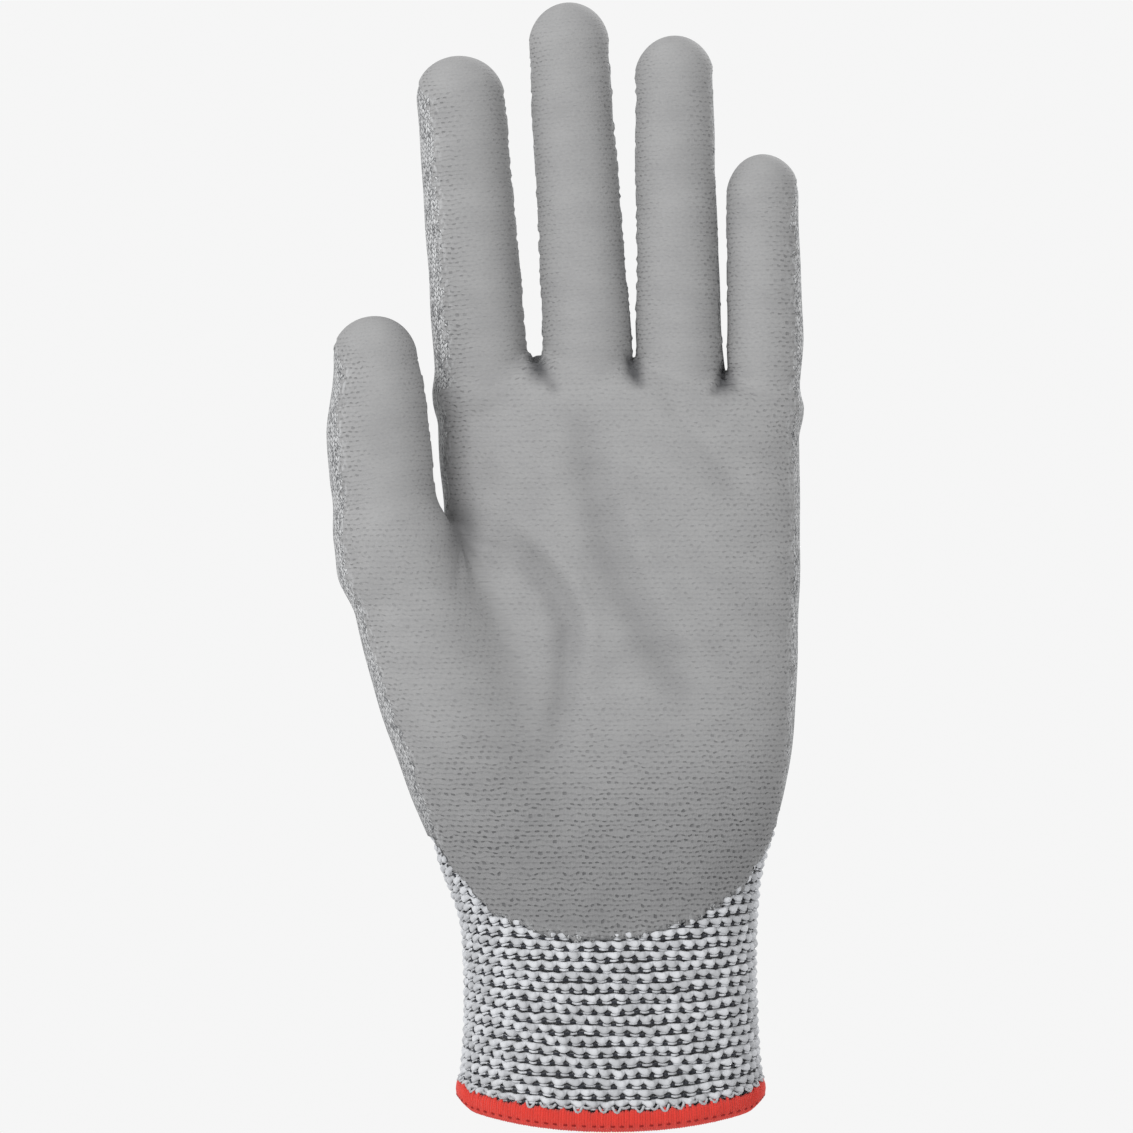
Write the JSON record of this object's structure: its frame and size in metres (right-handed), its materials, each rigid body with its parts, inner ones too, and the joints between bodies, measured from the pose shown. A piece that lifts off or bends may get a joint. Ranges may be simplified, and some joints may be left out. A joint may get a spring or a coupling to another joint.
{
  "type": "cut resistant glove",
  "caption": "Left-hand knitted cut resistant work glove with a polyurethane palm film, elastic cuff and red overlocked hem; fingers, thumb and wrist bend.",
  "frame": {"origin": "centre of the wrist opening, level with the hem's lowest point", "axes": "+Z towards the fingertips, -Y out of the palm, -X towards the thumb"},
  "size_m": [0.1021, 0.0508, 0.2415],
  "materials": {
    "knit": "salt and pepper plain knit, light and near-black yarns plated together",
    "coating": "matt grey polyurethane film, the knit showing through",
    "fold": "knit with its film, matt grey",
    "hem_thread": "red overlock thread",
    "stitch_thread": "dark red needle thread",
    "elastic": "covered elastic yarn"
  },
  "bodies": {
    "cuff": {"hem_overlock": "hem_thread", "hem_chain_stitch": "stitch_thread", "cuff_knit": "knit", "cuff_elastic_yarns": "elastic", "wrist_fold": "knit"},
    "palm": {"palm_knit": "knit", "palm_coating": "coating", "wrist_coating": "coating", "index_base_fold": "fold", "middle_base_fold": "fold", "ring_base_fold": "fold", "little_base_fold": "fold", "thumb_base_fold": "fold"},
    "index_base": {"index_base_knit": "knit", "index_base_coating": "coating", "index_mid_fold": "fold"},
    "index_mid": {"index_mid_knit": "knit", "index_mid_coating": "coating", "index_tip_fold": "fold"},
    "index_tip": {"index_tip_knit": "knit", "index_tip_coating": "coating"},
    "middle_base": {"middle_base_knit": "knit", "middle_base_coating": "coating", "middle_mid_fold": "fold"},
    "middle_mid": {"middle_mid_knit": "knit", "middle_mid_coating": "coating", "middle_tip_fold": "fold"},
    "middle_tip": {"middle_tip_knit": "knit", "middle_tip_coating": "coating"},
    "ring_base": {"ring_base_knit": "knit", "ring_base_coating": "coating", "ring_mid_fold": "fold"},
    "ring_mid": {"ring_mid_knit": "knit", "ring_mid_coating": "coating", "ring_tip_fold": "fold"},
    "ring_tip": {"ring_tip_knit": "knit", "ring_tip_coating": "coating"},
    "little_base": {"little_base_knit": "knit", "little_base_coating": "coating", "little_mid_fold": "fold"},
    "little_mid": {"little_mid_knit": "knit", "little_mid_coating": "coating", "little_tip_fold": "fold"},
    "little_tip": {"little_tip_knit": "knit", "little_tip_coating": "coating"},
    "thumb_base": {"thumb_base_knit": "knit", "thumb_base_coating": "coating", "thumb_tip_fold": "fold"},
    "thumb_tip": {"thumb_tip_knit": "knit", "thumb_tip_coating": "coating"}
  },
  "joints": [
    {"name": "wrist_bend", "type": "hinge", "parent": "cuff", "child": "palm", "pos_m": [0, 0, 0.047], "axis": [1, 0, 0], "range_deg": [-30, 30], "deforming": ["wrist_fold", "wrist_coating"]},
    {"name": "index_base_bend", "type": "hinge", "parent": "palm", "child": "index_base", "pos_m": [-0.02798, -0.00232, 0.16798], "axis": [0.9971, 0, 0.0767], "range_deg": [0, 60], "deforming": ["index_base_fold"]},
    {"name": "index_mid_bend", "type": "hinge", "parent": "index_base", "child": "index_mid", "pos_m": [-0.02967, -0.00306, 0.18992], "axis": [0.9971, 0, 0.0767], "range_deg": [0, 80], "deforming": ["index_mid_fold"]},
    {"name": "index_tip_bend", "type": "hinge", "parent": "index_mid", "child": "index_tip", "pos_m": [-0.03121, -0.00468, 0.20986], "axis": [0.9971, 0, 0.0767], "range_deg": [0, 55], "deforming": ["index_tip_fold"]},
    {"name": "middle_base_bend", "type": "hinge", "parent": "palm", "child": "middle_base", "pos_m": [-0.00501, -0.00223, 0.16899], "axis": [0.998, 0, 0.0628], "range_deg": [0, 60], "deforming": ["middle_base_fold"]},
    {"name": "middle_mid_bend", "type": "hinge", "parent": "middle_base", "child": "middle_mid", "pos_m": [-0.00665, -0.0029, 0.19494], "axis": [0.998, 0, 0.0628], "range_deg": [0, 80], "deforming": ["middle_mid_fold"]},
    {"name": "middle_tip_bend", "type": "hinge", "parent": "middle_mid", "child": "middle_tip", "pos_m": [-0.00809, -0.00443, 0.21789], "axis": [0.998, 0, 0.0628], "range_deg": [0, 55], "deforming": ["middle_tip_fold"]},
    {"name": "ring_base_bend", "type": "hinge", "parent": "palm", "child": "ring_base", "pos_m": [0.01469, -0.00209, 0.168], "axis": [0.9998, 0, 0.0209], "range_deg": [0, 60], "deforming": ["ring_base_fold"]},
    {"name": "ring_mid_bend", "type": "hinge", "parent": "ring_base", "child": "ring_mid", "pos_m": [0.0142, -0.00277, 0.19149], "axis": [0.9998, 0, 0.0209], "range_deg": [0, 80], "deforming": ["ring_mid_fold"]},
    {"name": "ring_tip_bend", "type": "hinge", "parent": "ring_mid", "child": "ring_tip", "pos_m": [0.01375, -0.00436, 0.21299], "axis": [0.9998, 0, 0.0209], "range_deg": [0, 55], "deforming": ["ring_tip_fold"]},
    {"name": "little_base_bend", "type": "hinge", "parent": "palm", "child": "little_base", "pos_m": [0.03321, -0.00186, 0.1655], "axis": [0.9998, 0, 0.0209], "range_deg": [0, 60], "deforming": ["little_base_fold"]},
    {"name": "little_mid_bend", "type": "hinge", "parent": "little_base", "child": "little_mid", "pos_m": [0.03291, -0.00231, 0.1795], "axis": [0.9998, 0, 0.0209], "range_deg": [0, 80], "deforming": ["little_mid_fold"]},
    {"name": "little_tip_bend", "type": "hinge", "parent": "little_mid", "child": "little_tip", "pos_m": [0.03261, -0.00341, 0.19399], "axis": [0.9998, 0, 0.0209], "range_deg": [0, 55], "deforming": ["little_tip_fold"]},
    {"name": "thumb_base_bend", "type": "hinge", "parent": "palm", "child": "thumb_base", "pos_m": [-0.0472, -0.01685, 0.1305], "axis": [0.9948, 0.0523, 0.087], "range_deg": [0, 35], "deforming": ["thumb_base_fold"]},
    {"name": "thumb_tip_bend", "type": "hinge", "parent": "thumb_base", "child": "thumb_tip", "pos_m": [-0.04894, -0.01699, 0.15042], "axis": [0.9948, 0.0523, 0.087], "range_deg": [0, 55], "deforming": ["thumb_tip_fold"]}
  ]
}
